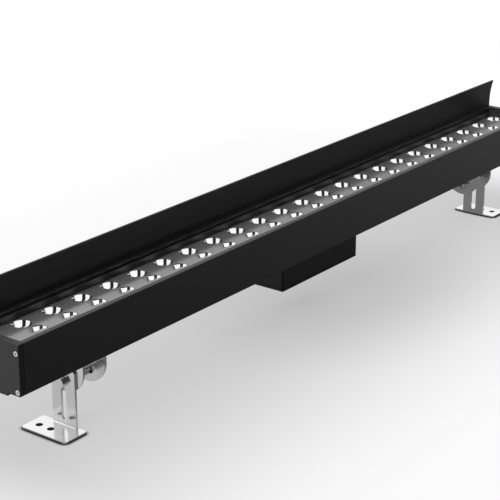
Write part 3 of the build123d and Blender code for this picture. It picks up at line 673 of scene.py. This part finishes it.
class WASHER_OT_driver(bpy.types.Operator):
    """Finish the rubber, the cable gland and the driver's board and components."""
    bl_idname = "washer.driver"
    bl_label = "Seals And Driver"

    def execute(self, context):
        rubber = finish_material(
            "black_rubber", dark=grey(0.012), light=grey(0.02), roughness=0.7,
            scale=1500.0, bump=0.3, specular=0.3, edge=0.1)
        nylon = finish_material(
            "black_nylon", dark=grey(0.014), light=grey(0.02), roughness=0.45,
            scale=1100.0, bump=0.25, edge=0.2)
        board = finish_material(
            "green_solder_mask", dark=(0.01, 0.09, 0.035, 1), light=(0.015, 0.13, 0.05, 1), roughness=0.3,
            scale=300.0, bump=0.2, edge=0.1)
        potting = finish_material(
            "component_bodies", dark=grey(0.03), light=(0.05, 0.05, 0.07, 1), roughness=0.5,
            scale=700.0, bump=0.2, edge=0.2)
        paint(rubber, "glass_seal", "end_gasket_left", "end_gasket_right", "driver_box_gasket",
              "wire_grommet", "cable_gland_seal")
        paint(nylon, "cable_gland_body", "cable_gland_nut", "cable_gland_locknut")
        paint(board, "driver_board")
        paint(potting, "driver_components")
        smooth_shade("cable_gland_body", "cable_gland_nut", "cable_gland_seal", "wire_grommet",
                     "driver_components")
        return {"FINISHED"}


class WASHER_OT_bolt_threads(bpy.types.Operator):
    """Draw the threads on the free ends of the tilt bolts."""
    bl_idname = "washer.bolt_threads"
    bl_label = "Bolt Threads"

    def execute(self, context):
        thread = context.scene.washer_thread
        look = bpy.data.materials["turned_stainless"]
        off_nut, off_end = 0.4, 0.5         # in pitches
        proud = 0.3                         # share of the ridge that stands over the shank
        for side, sign in SIDES:
            nut_low, nut_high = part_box(f"{side}_bolt_nuts")
            for name, shank, nut_length, pitch in TILT_BOLTS:
                low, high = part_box(f"{side}_{name}")
                centre = ((low[1] + high[1]) / 2, (low[2] + high[2]) / 2)
                if sign < 0:
                    start, end = nut_low[0] + nut_length + off_nut * pitch, high[0] - off_end * pitch
                else:
                    start, end = nut_high[0] - nut_length - off_nut * pitch, low[0] + off_end * pitch
                height = thread.depth * (1 + proud)
                verts, faces = thread_mesh(
                    start, end, centre, shank - thread.depth, pitch, height, thread.segments)
                obj = mesh_object(f"{side}_{name}_thread", verts, faces, look, f"{side}_stand")
        return {"FINISHED"}


class WASHER_OT_seal_bead(bpy.types.Operator):
    """Draw the thin bead of black sealant round the cover glass."""
    bl_idname = "washer.seal_bead"
    bl_label = "Seal Bead"

    def execute(self, context):
        low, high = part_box("glass_cover")
        half, flatness, sunk, points = 0.35 * MM, 0.55, 0.05 * MM, 8
        corners = [(low[0], low[1]), (high[0], low[1]), (high[0], high[1]), (low[0], high[1])]
        rings = []
        for x, y in corners:
            out_x = -1.0 if x < 0 else 1.0
            out_y = -1.0 if y < (low[1] + high[1]) / 2 else 1.0
            ring = []
            for k in range(points):
                angle = 2 * math.pi * k / points
                reach = half * math.cos(angle)
                rise = half * flatness * math.sin(angle)
                ring.append((x + out_x * reach, y + out_y * reach, high[2] - sunk + rise))
            rings.append(ring)
        verts, faces = swept_loop(rings)
        obj = mesh_object("glass_seal_bead", verts, faces, bpy.data.materials["black_rubber"], LAMP)
        return {"FINISHED"}


def floor_shadow(g, x, y, stage):
    """The floor's level to the camera: darkest in a strip under the housing, white far away."""
    strip_half, strip_y, end_fall = 0.46, 0.02, 1.9
    soft_span, soft_top, fade_span = (0.02, 0.36), 0.955, (0.30, 0.60)
    past_end = g.math("MAXIMUM", g.math("SUBTRACT", g.math("ABSOLUTE", x), strip_half), 0.0)
    reach = g.distance(g.product(past_end, end_fall), g.math("SUBTRACT", y, strip_y))
    soft = g.smooth(reach, *soft_span, stage.floor_level, soft_top)
    level = g.math("ADD", soft, g.smooth(reach, *fade_span, 0.0, 1.0 - soft_top))
    # painted shade: a little darker under the driver box
    box_x, box_y, box_stretch = 0.05, -0.03, 0.7
    box_span, box_level = (0.03, 0.20), 0.86
    box_reach = g.distance(g.product(g.math("SUBTRACT", x, box_x), box_stretch),
                           g.math("SUBTRACT", y, box_y))
    return g.product(level, g.smooth(box_reach, *box_span, box_level, 1.0))


def floor_contact_shade(g):
    """Painted contact shade: darker floor near what stands on it, and a dark line where the feet touch it.
    """
    wide_reach, wide_span, wide_level = 0.10, (0.0, 0.6), 0.40
    close_reach, close_span, close_level = 0.005, (0.70, 1.0), 0.02
    wide = g.add("ShaderNodeAmbientOcclusion", {"samples": 8}, Distance=wide_reach)
    close = g.add("ShaderNodeAmbientOcclusion", {"samples": 8}, Distance=close_reach)
    return g.product(g.smooth(wide.outputs["AO"], *wide_span, wide_level, 1.0),
                     g.smooth(close.outputs["AO"], *close_span, close_level, 1.0))


def floor_bounce(g, x, y):
    """The floor's share of light to the object, with painted light and shade:
    bright behind at the left, dark in front.
    """
    behind_span, behind_levels = (-0.50, 0.20), (0.95, 0.35)
    ahead_span, ahead_levels = (-0.40, 0.90), (0.18, 0.40)
    front_span = (-0.10, 0.01)
    behind = g.smooth(x, *behind_span, *behind_levels)
    ahead = g.smooth(x, *ahead_span, *ahead_levels)
    is_behind = g.smooth(y, *front_span)
    return g.math("MULTIPLY_ADD", is_behind, g.math("SUBTRACT", behind, ahead), ahead)


class WASHER_OT_stage(bpy.types.Operator):
    """Set up the floor, the key light, the white surroundings and the camera."""
    bl_idname = "washer.stage"
    bl_label = "Photo Stage"

    def execute(self, context):
        stage = context.scene.washer_stage
        self.floor(stage)
        self.key_light(stage)
        self.world(context, stage)
        self.camera(context, stage)
        context.scene.view_settings.view_transform = "Standard"
        return {"FINISHED"}

    @staticmethod
    def floor(stage):
        """A pale floor, which the camera sees as white with a soft shadow, and clear from below."""
        datablock, g, surface, output = material("studio_floor")
        place = g.add("ShaderNodeSeparateXYZ", Vector=g.add("ShaderNodeTexCoord").outputs["Object"])
        x, y = place.outputs["X"], place.outputs["Y"]
        # the side that lights the object: painted light behind and painted shade in front
        bounce = floor_bounce(g, x, y)
        grain = grain_node(g, EVEN, scale=3.0, bump=0.0)
        tone = g.blend(grain.outputs["Cloud"], grey(stage.bounce_level * 0.98), grey(stage.bounce_level))
        g.feed(surface.inputs["Base Color"], g.blend(bounce, grey(0.0), tone))
        surface.inputs["Roughness"].default_value = 0.8
        surface.inputs["Specular IOR Level"].default_value = 0.0
        # what the camera and the mirrors of metal see: the painted shadow and contact shade,
        # and in the mirrors also the floor's painted light and shade
        ray = g.add("ShaderNodeLightPath")
        mirrored = g.dimmed(ray, g.product(bounce, stage.mirror_level))
        level = g.product(floor_shadow(g, x, y, stage), floor_contact_shade(g), mirrored)
        shade = g.add("ShaderNodeEmission", Color=(1, 1, 1, 1), Strength=level)
        both = g.add("ShaderNodeMixShader", i0=g.seen(ray), i1=surface.outputs[0], i2=shade.outputs[0])
        # clear from below, so that the underside of the light can be looked at
        backfacing = g.add("ShaderNodeNewGeometry").outputs["Backfacing"]
        below = g.product(ray.outputs["Is Camera Ray"], backfacing)
        clear = g.add("ShaderNodeBsdfTransparent", Color=(1, 1, 1, 1))
        sided = g.add("ShaderNodeMixShader", i0=below, i1=both.outputs[0], i2=clear.outputs[0])
        g.feed(output.inputs["Surface"], sided.outputs[0])
        half = 12.0
        verts = [(-half, -half, 0), (half, -half, 0), (half, half, 0), (-half, half, 0)]
        mesh_object("studio_floor", verts, [(0, 1, 2, 3)], datablock, None, smooth=False)

    @staticmethod
    def key_light(stage):
        """A key behind, above and beyond the left end: the visor's shadow falls on the back lenses."""
        lamp = bpy.data.lights.new("key_light", "AREA")
        lamp.size = stage.key_size
        lamp.energy = stage.key_power
        obj = bpy.data.objects.new("key_light", lamp)
        obj.location = stage.key_place
        aim = Vector((0.0, 0.0, 0.1))
        obj.rotation_euler = (aim - Vector(stage.key_place)).to_track_quat("-Z", "Y").to_euler()
        bpy.context.scene.collection.objects.link(obj)

    @staticmethod
    def world(context, stage):
        """Surroundings that are white to the camera; their light and mirror image are dark in front."""
        world = bpy.data.worlds.new("studio_white")
        context.scene.world = world
        world.use_nodes = True
        g = Graph(world.node_tree)
        g.tree.nodes.clear()
        ray = g.add("ShaderNodeLightPath")
        place = g.add("ShaderNodeSeparateXYZ", Vector=g.add("ShaderNodeTexCoord").outputs["Generated"])
        # brightest behind at the right, and a little brighter overhead
        toward_x, toward_y, overhead, darkest = 0.6, 0.8, 0.25, 0.05
        height_span, glow_span = (0.1, 0.9), (-0.38, 0.65)
        above = g.smooth(place.outputs["Z"], *height_span, 0.0, overhead)
        across = g.product(place.outputs["X"], toward_x)
        behind = g.math("MULTIPLY_ADD", place.outputs["Y"], toward_y, across)
        glow = g.smooth(g.math("ADD", behind, above), *glow_span)
        light = g.add("ShaderNodeBackground", Color=g.blend(glow, grey(darkest), grey(1.0)),
                      Strength=stage.world_level)
        mirrored = g.dimmed(ray, g.math("MULTIPLY_ADD", glow, 1.0 - darkest, darkest))
        white = g.add("ShaderNodeBackground", Color=(1, 1, 1, 1), Strength=mirrored)
        both = g.add("ShaderNodeMixShader", i0=g.seen(ray), i1=light.outputs[0], i2=white.outputs[0])
        output = g.add("ShaderNodeOutputWorld")
        g.feed(output.inputs["Surface"], both.outputs[0])

    @staticmethod
    def camera(context, stage):
        """The camera of the photograph."""
        data = bpy.data.cameras.new("photo_camera")
        data.sensor_width = 36.0
        data.lens = stage.focal_length
        data.shift_x, data.shift_y = stage.camera_shift
        data.clip_start = 0.05
        data.clip_end = 60.0
        obj = bpy.data.objects.new("photo_camera", data)
        right, up = Vector(CAMERA_RIGHT), Vector(CAMERA_UP)
        turn = Matrix((right, up, right.cross(up))).transposed().to_4x4()
        obj.matrix_world = Matrix.Translation(Vector(stage.camera_place)) @ turn
        context.scene.collection.objects.link(obj)
        context.scene.camera = obj


OPERATORS = (
    WASHER_OT_black_metal,
    WASHER_OT_optics,
    WASHER_OT_brackets,
    WASHER_OT_fasteners,
    WASHER_OT_driver,
    WASHER_OT_bolt_threads,
    WASHER_OT_seal_bead,
    WASHER_OT_stage,
)


class WASHER_PT_panel(bpy.types.Panel):
    """The steps that build the scene."""
    bl_idname = "WASHER_PT_panel"
    bl_label = "Wall Washer"
    bl_space_type = "VIEW_3D"
    bl_region_type = "UI"
    bl_category = "Washer"

    def draw(self, context):
        for operator in OPERATORS:
            self.layout.operator(operator.bl_idname)


CLASSES = (*SETTINGS.values(), *OPERATORS, WASHER_PT_panel)


def register():
    """Register the classes and the scene settings."""
    for cls in CLASSES:
        bpy.utils.register_class(cls)
    for name, cls in SETTINGS.items():
        setattr(bpy.types.Scene, name, PointerProperty(type=cls))


def unregister():
    """Remove the scene settings and the classes."""
    for name in SETTINGS:
        delattr(bpy.types.Scene, name)
    for cls in reversed(CLASSES):
        bpy.utils.unregister_class(cls)


def main():
    """Build the whole scene."""
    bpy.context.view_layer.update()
    register()
    grain_group()
    edge_group()
    lens_group()
    for operator in OPERATORS:
        getattr(bpy.ops.washer, operator.bl_idname.split(".")[1])()


if __name__ == "__main__":
    main()
